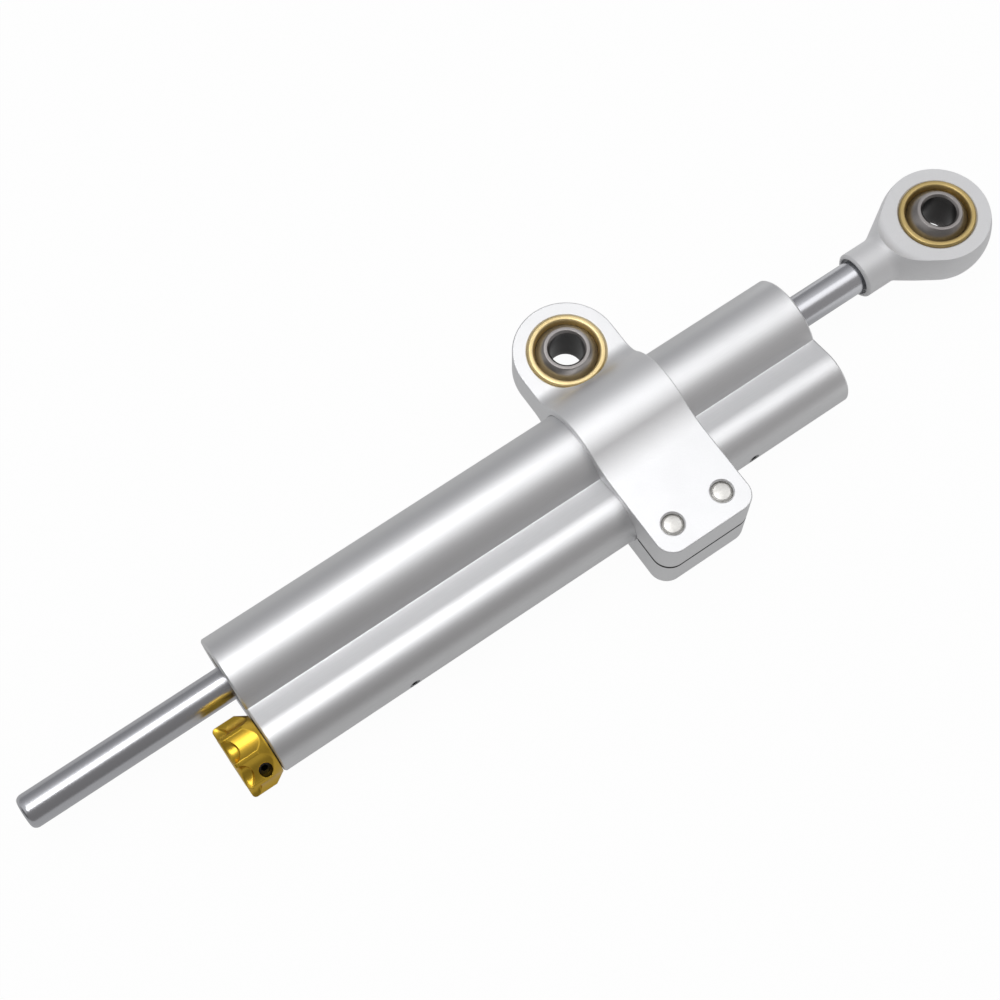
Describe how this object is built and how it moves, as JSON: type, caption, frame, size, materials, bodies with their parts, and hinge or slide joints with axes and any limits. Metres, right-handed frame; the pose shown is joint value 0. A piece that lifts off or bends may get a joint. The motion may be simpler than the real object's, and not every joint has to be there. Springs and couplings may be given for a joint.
{
  "type": "motorcycle steering damper",
  "caption": "Through-rod hydraulic steering damper: twin-barrel cylinder with side adjuster knob, spherical-bearing rod eye and bolted clamp with a spherical bearing.",
  "frame": {"origin": "centre of the bore of the clamp's bearing ball, midway between the ball's two faces", "axes": "+X along the rod towards the rod eye, +Y from the cylinder towards the clamp's bearing, +Z along the clamp's bearing bore, away from the bolt heads"},
  "size_m": [0.2582, 0.0671, 0.0258],
  "materials": {
    "silver_anodised": "satin, bead blasted and clear anodised",
    "guide_alloy": "hard anodised, turned",
    "hard_chrome": "ground and polished",
    "race_brass": "turned, bright",
    "bearing_steel": "dark phosphated, polished in use",
    "piston_bronze": "turned",
    "gold_anodised": "gloss gold anodised",
    "stainless": "plain stainless",
    "spring_steel": "blued",
    "black_steel": "black oxide",
    "plug_steel": "dark oxide",
    "nitrile": "matt",
    "seal_polyurethane": "satin",
    "band_ptfe": "filled, matt"
  },
  "bodies": {
    "mounting_ball": {"clamp_ball": "bearing_steel"},
    "clamp": {"clamp": "silver_anodised", "clamp_race": "race_brass", "clamp_bolts": "stainless"},
    "cylinder": {"damper_body": "silver_anodised", "rod_guide_left": "guide_alloy", "rod_guide_right": "guide_alloy", "guide_o_rings": "nitrile", "rod_seals": "seal_polyurethane", "rod_wipers": "nitrile", "retaining_rings": "spring_steel", "side_plugs": "plug_steel", "gallery_end_plug": "plug_steel", "adjuster_gland": "guide_alloy", "gland_o_ring": "nitrile", "spindle_o_ring": "nitrile", "detent_ball": "stainless", "detent_spring": "spring_steel"},
    "piston": {"piston": "piston_bronze", "piston_ring": "band_ptfe", "piston_o_ring": "nitrile"},
    "rod": {"piston_rod": "hard_chrome", "piston_snap_rings": "spring_steel", "rod_eye": "silver_anodised", "rod_eye_race": "race_brass"},
    "rod_eye_ball": {"rod_eye_ball": "bearing_steel"},
    "adjuster": {"adjuster_knob": "gold_anodised", "knob_grub_screw": "black_steel", "adjuster_spindle": "stainless"},
    "needle": {"metering_needle": "stainless"}
  },
  "joints": [
    {"name": "clamp_swivel", "type": "hinge", "parent": "mounting_ball", "child": "clamp", "pos_m": [0, 0, 0], "axis": [0, 0, 1], "continuous": true},
    {"name": "clamp_position", "type": "slide", "parent": "clamp", "child": "cylinder", "axis": [1, 0, 0], "range_m": [-0.033, 0.09]},
    {"name": "rod_stroke", "type": "slide", "parent": "cylinder", "child": "piston", "axis": [1, 0, 0], "range_m": [-0.018, 0.048]},
    {"name": "rod_turn", "type": "hinge", "parent": "piston", "child": "rod", "pos_m": [0, -0.02085, 0], "axis": [1, 0, 0], "continuous": true},
    {"name": "rod_eye_swivel", "type": "hinge", "parent": "rod", "child": "rod_eye_ball", "pos_m": [0.09125, -0.02085, 0], "axis": [0.0506, 0.0296, 0.9983], "continuous": true},
    {"name": "adjuster_turn", "type": "hinge", "parent": "cylinder", "child": "adjuster", "pos_m": [0, -0.03675, 0], "axis": [1, 0, 0], "range_deg": [-360, 360]},
    {"name": "needle_travel", "type": "slide", "parent": "cylinder", "child": "needle", "axis": [1, 0, 0], "range_m": [-0.0007, 0.0007]}
  ],
  "couplings": [
    {"joint": "adjuster_turn", "follows": "needle_travel", "rad_per_m": 8976}
  ]
}
